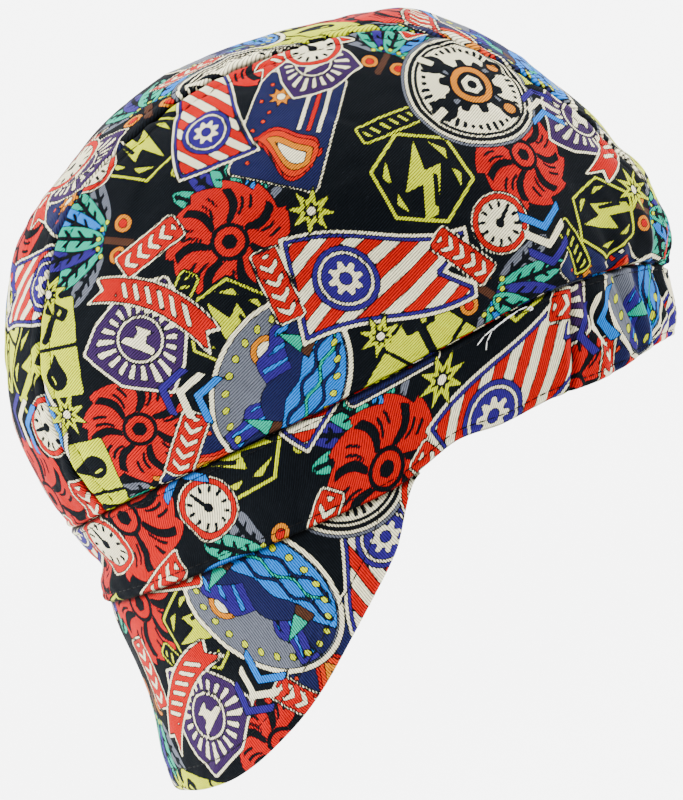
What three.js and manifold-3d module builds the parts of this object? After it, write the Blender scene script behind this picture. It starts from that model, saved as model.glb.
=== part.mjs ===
import * as THREE from 'three';
import { mergeVertices } from 'three/addons/utils/BufferGeometryUtils.js';
import Module from 'manifold-3d';

// A soft cotton work cap: three crown panels, a band with a gathered back, and a hanging bill.
// Millimetres, +Z up. The front is -X, the wearer's left side is -Y.
// The origin is the centre of the rim, where the cap sits on the head.

// Driving sizes
const rimLength = 198; // outside, front to back
const rimWidth = 158; // outside, ear to ear
const bandHeight = 29;
const crownLength = 212.5; // the crown swells out past the band
const crownWidth = 172;
const crownTop = 140.2; // the highest point above the rim
const stripWidth = 68; // the centre strip, seam to seam
const billDepth = 65; // how far the bill hangs below the rim
const billKick = 6.2; // how far the bill's free edge swings forward
const crownWall = 1.4;
const bandWall = 2.2;
const billWall = 1.8;
const billInset = 0.4; // the bill is sewn in behind the band's face
const seamGap = 0.3; // between neighbouring pieces
const puckerPitch = 14; // between gathers, along the elastic
const puckerDepth = 1.5; // half the height of a gather
const widestStation = 6; // the cap is widest this far behind the rim's centre
const elasticStart = 122; // degrees from the front, where the elastic begins on either side
const billEnd = 86; // degrees from the front, where the bill runs out

const sideColumns = 24; // columns from the front to the elastic, on each side
const columnsPerPucker = 4;

// The band from rim to seam. Height is a share of the band's, and the rest are shares of half the rim.
const bandRows = [
  { height: 0.0, front: 1.01, back: 0.95, side: 1.0 },
  { height: 0.22, front: 1.002, back: 0.986, side: 1.003 },
  { height: 0.42, front: 0.974, back: 0.996, side: 1.003 },
  { height: 0.66, front: 0.993, back: 1.004, side: 1.009 },
  { height: 1.0, front: 1.013, back: 1.024, side: 1.022 },
];

// How far the rim lifts around the cap, as a share of the band's height: most just behind the bill
const rimRows = [
  { angle: 0, lift: 0.0 },
  { angle: 70, lift: 0.0 },
  { angle: 82, lift: 0.015 },
  { angle: 94, lift: 0.18 },
  { angle: 104, lift: 0.13 },
  { angle: 116, lift: 0.13 },
  { angle: 130, lift: 0.055 },
  { angle: 152, lift: 0.065 },
  { angle: 180, lift: 0.0 },
];

// The height of the band's upper seam around the cap, as a share of the band's height
const seamRows = [
  { angle: 0, height: 0.86 },
  { angle: 35, height: 0.97 },
  { angle: 85, height: 1.06 },
  { angle: 122, height: 1.125 },
  { angle: 136, height: 1.04 },
  { angle: 150, height: 0.93 },
  { angle: 165, height: 0.79 },
  { angle: 180, height: 0.67 },
];

// The crown from seam to top. Rise is a share of the height above the seam,
// and the rest are shares of half the crown's length or width.
const crownRows = [
  { rise: 0.052, front: 0.958, back: 1.005, side: 0.962, middle: 0.056 },
  { rise: 0.103, front: 0.969, back: 1.023, side: 0.983, middle: 0.056 },
  { rise: 0.172, front: 0.973, back: 1.026, side: 0.997, middle: 0.056 },
  { rise: 0.258, front: 0.971, back: 1.02, side: 1.0, middle: 0.056 },
  { rise: 0.344, front: 0.963, back: 0.991, side: 0.993, middle: 0.056 },
  { rise: 0.447, front: 0.931, back: 0.951, side: 0.965, middle: 0.056 },
  { rise: 0.559, front: 0.871, back: 0.886, side: 0.907, middle: 0.053 },
  { rise: 0.663, front: 0.806, back: 0.826, side: 0.829, middle: 0.05 },
  { rise: 0.749, front: 0.739, back: 0.76, side: 0.738, middle: 0.046 },
  { rise: 0.822, front: 0.655, back: 0.681, side: 0.64, middle: 0.04 },
  { rise: 0.882, front: 0.527, back: 0.612, side: 0.535, middle: 0.03 },
  { rise: 0.929, front: 0.424, back: 0.485, side: 0.43, middle: 0.01 },
  { rise: 0.968, front: 0.315, back: 0.292, side: 0.302, middle: -0.02 },
  { rise: 0.991, front: 0.193, back: 0.075, side: 0.151, middle: -0.08 },
  { rise: 1.0, front: 0.131, back: -0.131, side: 0.0, middle: -0.131 },
];

// Soft dents in the crown. Angles are degrees from the front, positive on the wearer's left,
// the heights are shares of the rise, and the depth is a share of half the crown's width.
const dents = [
  { angle: 139, spread: 9, rise: 0.27, reach: 0.22, depth: 0.036 },
  { angle: 118, spread: 8, rise: 0.62, reach: 0.16, depth: 0.015 },
  { angle: 0, spread: 26, rise: 0.813, reach: 0.035, depth: 0.016 },
  { angle: 180, spread: 24, rise: 0.33, reach: 0.05, depth: 0.014 },
  { angle: -141, spread: 10, rise: 0.3, reach: 0.2, depth: 0.028 },
  { angle: -62, spread: 12, rise: 0.16, reach: 0.12, depth: 0.014 },
  { angle: 58, spread: 10, rise: 0.1, reach: 0.1, depth: 0.01 },
];

// Half the centre strip's width along the cap, as shares of half its named width
const stripRows = [
  { along: -0.56, half: 1.08 },
  { along: -0.44, half: 1.07 },
  { along: -0.3, half: 1.04 },
  { along: -0.1, half: 1.06 },
  { along: 0.1, half: 1.06 },
  { along: 0.26, half: 1.03 },
  { along: 0.4, half: 1.0 },
  { along: 0.48, half: 0.86 },
  { along: 0.58, half: 0.68 },
];

// The bill's depth from its centre to its end, as shares of the half span and of the named depth
const billDepthRows = [
  { along: 0.0, depth: 0.965 },
  { along: 0.12, depth: 0.965 },
  { along: 0.25, depth: 0.965 },
  { along: 0.37, depth: 0.945 },
  { along: 0.49, depth: 0.872 },
  { along: 0.62, depth: 0.74 },
  { along: 0.75, depth: 0.53 },
  { along: 0.89, depth: 0.27 },
  { along: 1.0, depth: 0.03 },
];

// How far the bill swings forward on its way down, as shares of its depth and of the named kick
const billKickRows = [
  { drop: 0.0, kick: 0.0 },
  { drop: 0.12, kick: 0.12 },
  { drop: 0.4, kick: 0.21 },
  { drop: 0.62, kick: 0.42 },
  { drop: 0.81, kick: 0.88 },
  { drop: 1.0, kick: 1.0 },
];

const degrees = Math.PI / 180;
const manifold = await Module();
manifold.setup();

// Reads a column of a table between its rows, on a smooth curve that is level at both ends
function tableCurve(rows, key, value) {
  const places = rows.map((row) => row[key]);
  const values = rows.map((row) => row[value]);
  const curve = new THREE.CubicInterpolant(places, values, 1);
  curve.settings = { endingStart: THREE.ZeroSlopeEnding, endingEnd: THREE.ZeroSlopeEnding };
  return (place) => curve.evaluate(THREE.MathUtils.clamp(place, places[0], places.at(-1)))[0];
}

const rimLiftAt = tableCurve(rimRows, 'angle', 'lift');
const seamHeightAt = tableCurve(seamRows, 'angle', 'height');
const stripHalfAt = tableCurve(stripRows, 'along', 'half');
const billDepthAt = tableCurve(billDepthRows, 'along', 'depth');

// A level section is two half ellipses that meet where the cap is widest
function sectionPoint(angle, section) {
  const forward = Math.cos(angle);
  const reach = forward > 0 ? section.front + section.middle : section.back - section.middle;
  return new THREE.Vector3(section.middle - reach * forward, -section.side * Math.sin(angle), 0);
}

function moveOutwards(point, middle, distance) {
  const away = new THREE.Vector3(point.x - middle, point.y, 0).normalize();
  return point.addScaledVector(away, distance);
}

// The angle from the front in degrees, from -180 on the right to 180 on the left
function signedDegrees(angle) {
  const turned = (angle / degrees) % 360;
  return turned > 180 ? turned - 360 : turned;
}

function rimHeight(angle) {
  return bandHeight * rimLiftAt(Math.abs(signedDegrees(angle)));
}

function seamHeight(angle) {
  return bandHeight * seamHeightAt(Math.abs(signedDegrees(angle)));
}

function bandSection(row) {
  return {
    front: (row.front * rimLength) / 2,
    back: (row.back * rimLength) / 2,
    side: (row.side * rimWidth) / 2,
    middle: widestStation,
  };
}

function crownSection(row) {
  return {
    front: (row.front * crownLength) / 2,
    back: (row.back * crownLength) / 2,
    side: (row.side * crownWidth) / 2,
    middle: (row.middle * crownLength) / 2,
  };
}

// The elastic's length around the back of the rim sets how many gathers it takes up
function elasticGathers() {
  const rim = bandSection(bandRows[0]);
  const steps = 40;
  let length = 0;
  for (let step = 0; step < steps; step++) {
    const from = elasticStart + ((360 - 2 * elasticStart) * step) / steps;
    const to = elasticStart + ((360 - 2 * elasticStart) * (step + 1)) / steps;
    length += sectionPoint(from * degrees, rim).distanceTo(sectionPoint(to * degrees, rim));
  }
  return Math.max(2, Math.round(length / puckerPitch));
}

const gathers = elasticGathers();

// Columns go once around from the front: evenly along each side, finer over the gathers
function columnAngles() {
  const angles = [];
  for (let column = 0; column < sideColumns; column++) {
    angles.push((elasticStart * column) / sideColumns);
  }
  const backColumns = gathers * columnsPerPucker;
  for (let column = 0; column < backColumns; column++) {
    angles.push(elasticStart + ((360 - 2 * elasticStart) * column) / backColumns);
  }
  for (let column = 0; column < sideColumns; column++) {
    angles.push(360 - elasticStart + (elasticStart * column) / sideColumns);
  }
  return angles.map((angle) => angle * degrees);
}

// The gathers' wave, full in the middle of the elastic and nothing at its ends
function pucker(angle) {
  const share = (angle / degrees - elasticStart) / (360 - 2 * elasticStart);
  if (share < 0 || share > 1) {
    return 0;
  }
  const swell = Math.min(1, 5 * share, 5 * (1 - share));
  return puckerDepth * swell * Math.sin(2 * Math.PI * gathers * share);
}

function dentDepth(angle, rise) {
  let depth = 0;
  for (const dent of dents) {
    const turn = signedDegrees(angle) - dent.angle;
    const around = (((turn + 540) % 360) - 180) / dent.spread;
    const up = (rise - dent.rise) / dent.reach;
    depth += dent.depth * Math.exp(-(around * around + up * up));
  }
  return (depth * crownWidth) / 2;
}

// Faces between neighbouring rows of a grid of points
function gridFaces(rowCount, columnCount, closed) {
  const faces = [];
  const steps = closed ? columnCount : columnCount - 1;
  for (let row = 0; row < rowCount - 1; row++) {
    for (let column = 0; column < steps; column++) {
      const next = (column + 1) % columnCount;
      const here = row * columnCount + column;
      const beside = row * columnCount + next;
      faces.push([here, beside, beside + columnCount]);
      faces.push([here, beside + columnCount, here + columnCount]);
    }
  }
  return faces;
}

function triangleArea(points, face) {
  const [a, b, c] = face.map((corner) => points[corner]);
  const side = new THREE.Vector3().subVectors(b, a);
  return side.cross(new THREE.Vector3().subVectors(c, a)).length() / 2;
}

function geometryFrom(points, faces) {
  const geometry = new THREE.BufferGeometry();
  geometry.setAttribute('position', new THREE.Float32BufferAttribute(points.flatMap((p) => p.toArray()), 3));
  geometry.setIndex(faces.flat());
  return geometry;
}

// Thickens a grid of outer points inwards into a closed wall. The free edges stay square to the cloth,
// so that neighbours meet edge to edge. A crested grid ends in one point at the top.
function clothWall(rows, wall, { closed, crested }) {
  const columnCount = rows[0].length;
  const outer = rows.flat();
  const outerFaces = gridFaces(rows.length, columnCount, closed);
  const sheet = geometryFrom(outer, outerFaces);
  sheet.computeVertexNormals();
  const normals = sheet.getAttribute('normal');
  const lastRow = rows.length - 1;
  const inner = outer.map((point, place) => {
    const row = Math.floor(place / columnCount);
    const out = new THREE.Vector3().fromBufferAttribute(normals, place);
    if (row === 0 || (row === lastRow && !crested)) {
      out.setZ(0).normalize();
    }
    if (row === lastRow && crested) {
      out.set(0, 0, 1);
    }
    return point.clone().addScaledVector(out, -wall);
  });
  const points = [...outer, ...inner];
  const shift = outer.length;
  const faces = [...outerFaces];
  for (const [a, b, c] of outerFaces) {
    faces.push([a + shift, c + shift, b + shift]);
  }
  const bindEdge = (from, to) => {
    faces.push([to, from, from + shift]);
    faces.push([to, from + shift, to + shift]);
  };
  const steps = closed ? columnCount : columnCount - 1;
  for (let column = 0; column < steps; column++) {
    const next = (column + 1) % columnCount;
    bindEdge(column, next);
    if (!crested) {
      bindEdge(lastRow * columnCount + next, lastRow * columnCount + column);
    }
  }
  if (!closed) {
    for (let row = 0; row < lastRow; row++) {
      bindEdge((row + 1) * columnCount, row * columnCount);
      bindEdge(row * columnCount + columnCount - 1, (row + 1) * columnCount + columnCount - 1);
    }
  }
  const real = faces.filter((face) => triangleArea(points, face) > 1e-6);
  return mergeVertices(geometryFrom(points, real), 1e-4);
}

function toSolid(geometry) {
  const bare = geometry.clone();
  bare.deleteAttribute('normal');
  bare.deleteAttribute('uv');
  const merged = mergeVertices(bare, 1e-4);
  return new manifold.Manifold(new manifold.Mesh({
    numProp: 3,
    vertProperties: new Float32Array(merged.getAttribute('position').array),
    triVerts: new Uint32Array(merged.getIndex().array),
  }));
}

function toGeometry(solid) {
  const mesh = solid.getMesh();
  const geometry = new THREE.BufferGeometry();
  geometry.setAttribute('position', new THREE.Float32BufferAttribute(mesh.vertProperties, 3));
  geometry.setIndex(Array.from(mesh.triVerts));
  return geometry;
}

// Crown: one hollow dome, cut into three panels along the two seams

function crownDome() {
  const angles = columnAngles();
  const bandTop = bandSection(bandRows.at(-1));
  const sections = [{ rise: 0, ...bandTop }];
  for (const row of crownRows) {
    sections.push({ rise: row.rise, ...crownSection(row) });
  }
  const gatherFade = 0.26; // the gathers die out over this share of the rise
  const rows = sections.map((section) =>
    angles.map((angle) => {
      const point = sectionPoint(angle, section);
      if (section.side > 0) {
        const fade = Math.max(0, 1 - section.rise / gatherFade);
        const swell = pucker(angle) * fade * fade - dentDepth(angle, section.rise) * (section.rise > 0 ? 1 : 0);
        moveOutwards(point, section.middle, swell);
      }
      const foot = seamHeight(angle) + seamGap;
      point.z = foot + (crownTop - foot) * section.rise;
      return point;
    }),
  );
  return toSolid(clothWall(rows, crownWall, { closed: true, crested: true }));
}

// A tall block whose plan is everything between two lines drawn along the cap
function planBlock(lowerLine, upperLine) {
  const shape = new THREE.Shape([...lowerLine, ...upperLine.toReversed()]);
  const geometry = new THREE.ExtrudeGeometry(shape, { depth: 2 * crownTop, bevelEnabled: false });
  geometry.translate(0, 0, -crownTop / 2);
  return toSolid(geometry);
}

// The seam on one side of the strip, moved sideways by the given distance
function seamLine(side, distance) {
  return stripRows.map((row) => {
    const half = (stripHalfAt(row.along) * stripWidth) / 2 + distance;
    return new THREE.Vector2(row.along * crownLength, side * half);
  });
}

function outsideLine(side) {
  return stripRows.map((row) => new THREE.Vector2(row.along * crownLength, side * crownWidth));
}

function crownPanels() {
  const dome = crownDome();
  const half = seamGap / 2;
  const strip = planBlock(seamLine(-1, -half), seamLine(1, -half));
  const left = planBlock(outsideLine(-1), seamLine(-1, half));
  const right = planBlock(seamLine(1, half), outsideLine(1));
  return {
    crown_side_left: toGeometry(dome.intersect(left)),
    crown_centre_strip: toGeometry(dome.intersect(strip)),
    crown_side_right: toGeometry(dome.intersect(right)),
  };
}

// Band: a plain length around the front and sides, and a gathered length behind

function bandLength(angles) {
  const rows = bandRows.map((row) => {
    const section = bandSection(row);
    return angles.map((angle) => {
      const point = sectionPoint(angle, section);
      moveOutwards(point, section.middle, pucker(angle));
      point.z = THREE.MathUtils.lerp(rimHeight(angle), seamHeight(angle), row.height);
      return point;
    });
  });
  return clothWall(rows, bandWall, { closed: false, crested: false });
}

function headband() {
  const gapAngle = seamGap / rimWidth; // half the gap, seen from the middle of the rim
  const end = elasticStart * degrees - gapAngle;
  const angles = [];
  for (let column = -sideColumns; column <= sideColumns; column++) {
    angles.push((end * column) / sideColumns);
  }
  return bandLength(angles);
}

function elasticBand() {
  const gapAngle = seamGap / rimWidth;
  const start = elasticStart * degrees + gapAngle;
  const end = (360 - elasticStart) * degrees - gapAngle;
  const columns = gathers * columnsPerPucker;
  const angles = [];
  for (let column = 0; column <= columns; column++) {
    angles.push(start + ((end - start) * column) / columns);
  }
  return bandLength(angles);
}

// Bill: a curtain that follows the rim and hangs from the band's lower edge

function bill() {
  const rim = bandSection(bandRows[0]);
  const columns = 20;
  const rows = billKickRows.map((row) => {
    const points = [];
    for (let column = -columns; column <= columns; column++) {
      const along = column / columns;
      const angle = along * billEnd * degrees;
      const point = sectionPoint(angle, rim);
      const forward = Math.cos(angle);
      const swing = billKick * row.kick * forward * forward;
      moveOutwards(point, rim.middle, swing - billInset);
      point.z = rimHeight(angle) - seamGap - row.drop * billDepth * billDepthAt(Math.abs(along));
      points.push(point);
    }
    return points;
  });
  return clothWall(rows.toReversed(), billWall, { closed: false, crested: false });
}

function printedTwill(colour) {
  return new THREE.MeshStandardMaterial({ color: colour, roughness: 0.88, metalness: 0 });
}

const cap = new THREE.Group();
const pieces = {
  ...crownPanels(),
  headband: headband(),
  elastic_band: elasticBand(),
  bill: bill(),
};
const colours = {
  crown_side_left: 0x1b2530,
  crown_centre_strip: 0x222c38,
  crown_side_right: 0x1b2530,
  headband: 0x27313d,
  elastic_band: 0x202a35,
  bill: 0x1e2833,
};
for (const [name, geometry] of Object.entries(pieces)) {
  const mesh = new THREE.Mesh(geometry, printedTwill(colours[name]));
  mesh.name = name;
  cap.add(mesh);
}

export default cap;
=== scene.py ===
import math

import bmesh
import bpy
import numpy as np
from mathutils import Matrix, Vector
from mathutils.kdtree import KDTree


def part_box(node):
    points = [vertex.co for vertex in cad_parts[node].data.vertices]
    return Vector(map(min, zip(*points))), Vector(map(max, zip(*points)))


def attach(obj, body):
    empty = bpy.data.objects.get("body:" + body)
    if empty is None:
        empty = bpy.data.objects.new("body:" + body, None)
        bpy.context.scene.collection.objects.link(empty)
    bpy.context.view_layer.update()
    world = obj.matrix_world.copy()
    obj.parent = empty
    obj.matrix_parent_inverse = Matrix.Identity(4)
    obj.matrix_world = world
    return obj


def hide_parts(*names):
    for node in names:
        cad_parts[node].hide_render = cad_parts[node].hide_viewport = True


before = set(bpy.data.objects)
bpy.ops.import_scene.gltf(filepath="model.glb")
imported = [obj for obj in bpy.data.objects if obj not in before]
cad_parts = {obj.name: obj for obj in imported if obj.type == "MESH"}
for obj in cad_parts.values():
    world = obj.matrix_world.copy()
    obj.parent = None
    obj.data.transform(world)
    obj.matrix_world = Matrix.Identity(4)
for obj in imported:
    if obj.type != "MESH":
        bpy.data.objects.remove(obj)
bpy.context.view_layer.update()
print("frame loaded")

# Lengths are in metres. The front of the cap is -X and the wearer's left side is -Y.
mm = 0.001

cap = {
    "rimLength": 198 * mm,
    "rimWidth": 158 * mm,
    "bandHeight": 29 * mm,
    "crownLength": 212.5 * mm,
    "crownWidth": 172 * mm,
    "crownTop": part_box("crown_centre_strip")[1].z,
    "stripWidth": 68 * mm,
    "widest": 6 * mm,          # the cap is widest this far behind the rim's centre
    "elasticStart": 122,       # degrees from the front
    "seamRow": 6 * mm,         # topstitching on both sides of a crown seam
    "seamGap": 0.3 * mm,       # between neighbouring pieces
    "clothWall": 1.3 * mm,
    "bandWall": 2.0 * mm,
}

def table(names, rows):  # one dictionary for each row
    return [dict(zip(names.split(), row)) for row in rows]


# Sections of the band from rim to seam, as shares of its height and of half the rim
bandRows = table("height front back side", [
    (0.00, 1.010, 0.950, 1.000),
    (0.22, 1.002, 0.986, 1.003),
    (0.42, 0.974, 0.996, 1.003),
    (0.66, 0.993, 1.004, 1.009),
    (1.00, 1.013, 1.024, 1.022),
])

# How far the rim lifts around the cap, as a share of the band's height
rimRows = [(0, 0.0), (70, 0.0), (82, 0.015), (94, 0.18), (104, 0.13), (116, 0.13),
           (130, 0.055), (152, 0.065), (180, 0.0)]

# Height of the band's upper seam around the cap, as a share of the band's height
seamRows = [(0, 0.86), (35, 0.97), (85, 1.06), (122, 1.125), (136, 1.04), (150, 0.93), (165, 0.79),
            (180, 0.67)]

# Sections of the crown from seam to top, as shares of the rise and of half its length or width
crownRows = table("rise front back side middle", [
    (0.000, 0.944, 0.954, 0.939, 0.056),
    (0.052, 0.958, 1.005, 0.962, 0.056),
    (0.103, 0.969, 1.023, 0.983, 0.056),
    (0.172, 0.973, 1.026, 0.997, 0.056),
    (0.258, 0.971, 1.020, 1.000, 0.056),
    (0.344, 0.963, 0.991, 0.993, 0.056),
    (0.447, 0.931, 0.951, 0.965, 0.056),
    (0.559, 0.871, 0.886, 0.907, 0.053),
    (0.663, 0.806, 0.826, 0.829, 0.050),
    (0.749, 0.739, 0.760, 0.738, 0.046),
    (0.822, 0.655, 0.681, 0.640, 0.040),
    (0.882, 0.527, 0.612, 0.535, 0.030),
    (0.929, 0.424, 0.485, 0.430, 0.010),
    (0.968, 0.315, 0.292, 0.302, -0.020),
    (0.991, 0.193, 0.075, 0.151, -0.080),
    (1.000, 0.131, -0.131, 0.000, -0.131),
])

# Soft dents: degrees from the front (positive on the wearer's left), spread, rise, reach, depth
dents = [
    (139, 9, 0.27, 0.22, 3.1 * mm),
    (118, 8, 0.62, 0.16, 1.3 * mm),
    (0, 26, 0.813, 0.035, 1.3 * mm),
    (180, 24, 0.33, 0.05, 1.2 * mm),
    (-141, 10, 0.30, 0.20, 2.4 * mm),
    (-62, 12, 0.16, 0.12, 1.2 * mm),
    (58, 10, 0.10, 0.10, 0.9 * mm),
]

# Half the centre strip's width along the cap, as shares of half its named width
stripRows = [(-0.56, 1.08), (-0.44, 1.07), (-0.30, 1.04), (-0.10, 1.06),
             (0.10, 1.06), (0.26, 1.03), (0.40, 1.00), (0.48, 0.86), (0.58, 0.68)]

bill = {
    "depth": 65 * mm,
    "kick": 6.2 * mm,          # the free edge swings this far forward
    "end": 86,                 # degrees from the front
    "inset": 0.4 * mm,
    "wall": 1.6 * mm,
    "depthRows": [(0.0, 0.965), (0.12, 0.965), (0.25, 0.965), (0.37, 0.945), (0.49, 0.872),
                  (0.62, 0.74), (0.75, 0.53), (0.89, 0.27), (1.0, 0.01)],
    "kickRows": [(0.0, 0.0), (0.12, 0.12), (0.40, 0.21), (0.62, 0.42), (0.81, 0.88), (1.0, 1.0)],
}


# Smooth curves through short tables

def curveAt(rows, place):
    places = np.array([row[0] for row in rows], float)
    values = np.array([row[1] for row in rows], float)
    slopes = np.zeros(len(rows))
    slopes[1:-1] = (values[2:] - values[:-2]) / (places[2:] - places[:-2])
    place = np.clip(place, places[0], places[-1])
    i = np.clip(np.searchsorted(places, place, side="right") - 1, 0, len(rows) - 2)
    step = places[i + 1] - places[i]
    f = (place - places[i]) / step
    return ((1 + 2 * f) * (1 - f) ** 2 * values[i] + f * (1 - f) ** 2 * step * slopes[i]
            + f ** 2 * (3 - 2 * f) * values[i + 1] - f ** 2 * (1 - f) * step * slopes[i + 1])


def columnAt(rows, name, share):
    values = np.array([row[name] for row in rows], float)
    values = np.concatenate([[2 * values[0] - values[1]], values, [2 * values[-1] - values[-2]]])
    place = np.clip(share, 0, 1) * (len(rows) - 1)
    i = np.clip(place.astype(int), 0, len(rows) - 2)
    f = place - i
    a, b, c, d = values[i], values[i + 1], values[i + 2], values[i + 3]
    return 0.5 * (2 * b + (c - a) * f + (2 * a - 5 * b + 4 * c - d) * f ** 2
                  + (3 * b - a - 3 * c + d) * f ** 3)


def waves(points, length, seed):  # a soft, even noise: a few crossed waves that bend one another
    rng = np.random.default_rng(seed)
    total = np.zeros(len(points))
    bend = np.zeros(len(points))
    for turn in range(7):
        way = rng.normal(size=3)
        way /= np.linalg.norm(way)
        phase = rng.uniform(0, 2 * math.pi)
        stretch = rng.uniform(0.7, 1.5)
        wave = np.sin(points @ way * (2 * math.pi / (length * stretch)) + phase + 1.3 * bend)
        total += wave
        bend = wave
    return total / 3.5


def softDents(points, seed, *layers):  # each layer is the depth and the length of its dents, in metres
    flat = points.reshape(-1, 3)
    total = sum(depth * waves(flat, length, seed + step) for step, (depth, length) in enumerate(layers))
    return total.reshape(points.shape[:2])


def peak(distance, reach):  # 1 at no distance, soft fall to 0
    return np.exp(-(distance / reach) ** 2)


def lengthAlong(points):  # how far along a line each of its points lies
    return np.concatenate([[0], np.cumsum(np.linalg.norm(np.diff(points, axis=0), axis=1))])


# The cap's form: every piece reads these

def fromFront(angle):  # degrees, 0 at the front and 180 at the back, on either side
    return np.abs((np.degrees(angle) + 180) % 360 - 180)


def rimLift(angle):
    return cap["bandHeight"] * curveAt(rimRows, fromFront(angle))


def seamFoot(angle):
    return cap["bandHeight"] * curveAt(seamRows, fromFront(angle))


def crownFoot(angle):
    return seamFoot(angle) + cap["seamGap"]


def sectionPoint(angle, front, back, side, middle):
    forward = np.cos(angle)
    reach = np.where(forward > 0, front + middle, back - middle)
    return middle - reach * forward, -side * np.sin(angle)


def pushedOut(x, y, z, middle, push):  # moved level, straight away from the middle
    away = np.stack([x - middle, y], -1)
    away /= np.maximum(np.linalg.norm(away, axis=-1), 1e-9)[..., None]
    return np.stack([x + away[..., 0] * push, y + away[..., 1] * push, z], -1)


def gather(angle, height):  # puckers that the elastic draws up, uneven like real ones
    share = (fromFront(angle) - cap["elasticStart"]) / (180 - cap["elasticStart"])
    swell = np.clip(share * 3.2 + 0.25, 0, 1)
    around = np.degrees(angle) % 360
    uneven = 0.45 * np.sin(np.radians(around * 7.3 + 40)) + 0.3 * np.sin(np.radians(around * 17.1))
    wave = np.sin(np.radians(around * 37) + 2.2 * height / cap["bandHeight"] + 1.7 * uneven)
    second = np.sin(np.radians(around * 61) + 5.5 * height / cap["bandHeight"] + 2.2 * uneven)
    wave = 1 - 2 * (0.5 - 0.5 * wave) ** 1.8  # narrow valleys between round ridges
    return swell * (1.2 * mm * (wave - 0.25) + 0.45 * mm * second)


def bandPoint(angle, height):
    share = np.interp(height, [row["height"] for row in bandRows], np.linspace(0, 1, len(bandRows)))
    half = cap["rimLength"] / 2
    x, y = sectionPoint(angle,
                        columnAt(bandRows, "front", share) * half,
                        columnAt(bandRows, "back", share) * half,
                        columnAt(bandRows, "side", share) * cap["rimWidth"] / 2,
                        cap["widest"])
    z = rimLift(angle) + height * (seamFoot(angle) - rimLift(angle))
    push = gather(angle, z) * (0.6 + 0.4 * np.sin(np.pi * np.clip(height, 0, 1)))
    return pushedOut(x, y, z, cap["widest"], push)


def crownSection(share):
    half = cap["crownLength"] / 2
    return (columnAt(crownRows, "front", share) * half, columnAt(crownRows, "back", share) * half,
            columnAt(crownRows, "side", share) * cap["crownWidth"] / 2,
            columnAt(crownRows, "middle", share) * half)


def crownPoint(angle, share):
    front, back, side, middle = crownSection(share)
    x, y = sectionPoint(angle, front, back, side, middle)
    rise = columnAt(crownRows, "rise", share)
    foot = crownFoot(angle)
    z = foot + (cap["crownTop"] - foot) * rise
    push = gather(angle, z) * np.clip(1 - rise / 0.30, 0, 1) ** 2
    for around, spread, up, reach, depth in dents:
        turn = (np.degrees(angle) - around + 540) % 360 - 180
        push = push - depth * np.exp(-(turn / spread) ** 2 - ((rise - up) / reach) ** 2)
    push = push * np.clip((1 - rise) / 0.03, 0, 1)
    return pushedOut(x, y, z, middle, push)


def stripHalf(x, z):  # the gathers also draw the strip in at its back end
    behind = np.clip((x - 60 * mm) / (25 * mm), 0, 1) * np.clip((58 * mm - z) / (34 * mm), 0, 1)
    return cap["stripWidth"] / 2 * curveAt(stripRows, x / cap["crownLength"]) * (1 - 0.42 * behind ** 1.3)


def bisect(lower, upper, isLower):
    for turn in range(24):
        middle = (lower + upper) / 2
        low = isLower(middle)
        lower, upper = np.where(low, middle, lower), np.where(low, upper, middle)
    return (lower + upper) / 2


# The seam is searched by share near its ends and by angle over the top
trace = {"points": 1200, "split": math.radians(48), "overlap": 0.2, "topPoints": 400, "endPoints": 300}


def seamTrace(count):  # the crown seam on the left side, front to back: angles and shares
    def beyond(angle, share):  # true outside the strip
        x, y = sectionPoint(angle, *crownSection(share))
        foot = crownFoot(angle)
        z = foot + (cap["crownTop"] - foot) * columnAt(crownRows, "rise", share)
        return np.abs(y) > stripHalf(x, z)

    split, overlap, top, end = trace["split"], trace["overlap"], trace["topPoints"], trace["endPoints"]
    topAngle = np.linspace(split, math.pi - split, top)
    topShare = bisect(np.full(top, 0.4), np.ones(top), lambda share: beyond(topAngle, share))
    frontShare = np.linspace(0, topShare[0], end)
    frontAngle = bisect(np.zeros(end), np.full(end, split + overlap),
                        lambda angle: ~beyond(angle, frontShare))
    backShare = np.linspace(topShare[-1], 0, end)
    backAngle = bisect(np.full(end, math.pi - split - overlap), np.full(end, math.pi),
                       lambda angle: beyond(angle, backShare))
    angles = np.concatenate([frontAngle[:-1], topAngle, backAngle[1:]])
    shares = np.concatenate([frontShare[:-1], topShare, backShare[1:]])
    along = lengthAlong(crownPoint(angles, shares))
    even = np.linspace(0, along[-1], count)
    return np.interp(even, along, angles), np.interp(even, along, shares)


# Lattices: rows and columns of points over one piece of cloth

def lattice(columns, rows, ease=0.18):  # 0 to 1 each way, a little closer together at the edges
    def line(count):
        even = np.linspace(0, 1, count + 1)
        return even - ease * np.sin(2 * math.pi * even) / (2 * math.pi)
    return np.meshgrid(line(columns), line(rows))


def evenLattice(columns, rows):  # even columns, and rows a little closer together at the edges
    up = lattice(columns, rows, ease=0.3)[1]
    return np.linspace(0, 1, columns + 1) + 0 * up, up


def measure(points):  # lengths along the rows and up the columns, in metres
    across = np.zeros(points.shape[:2])
    up = np.zeros(points.shape[:2])
    across[:, 1:] = np.cumsum(np.linalg.norm(np.diff(points, axis=1), axis=2), axis=1)
    up[1:] = np.cumsum(np.linalg.norm(np.diff(points, axis=0), axis=2), axis=0)
    return across, up


def outward(points):  # unit normals that point away from the cap's middle
    normal = np.cross(np.gradient(points, axis=1), np.gradient(points, axis=0))
    normal /= np.maximum(np.linalg.norm(normal, axis=2), 1e-12)[..., None]
    middle = np.array([0.005, 0, 0.03])
    return -normal if np.sum(normal * (points - middle)) < 0 else normal


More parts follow.
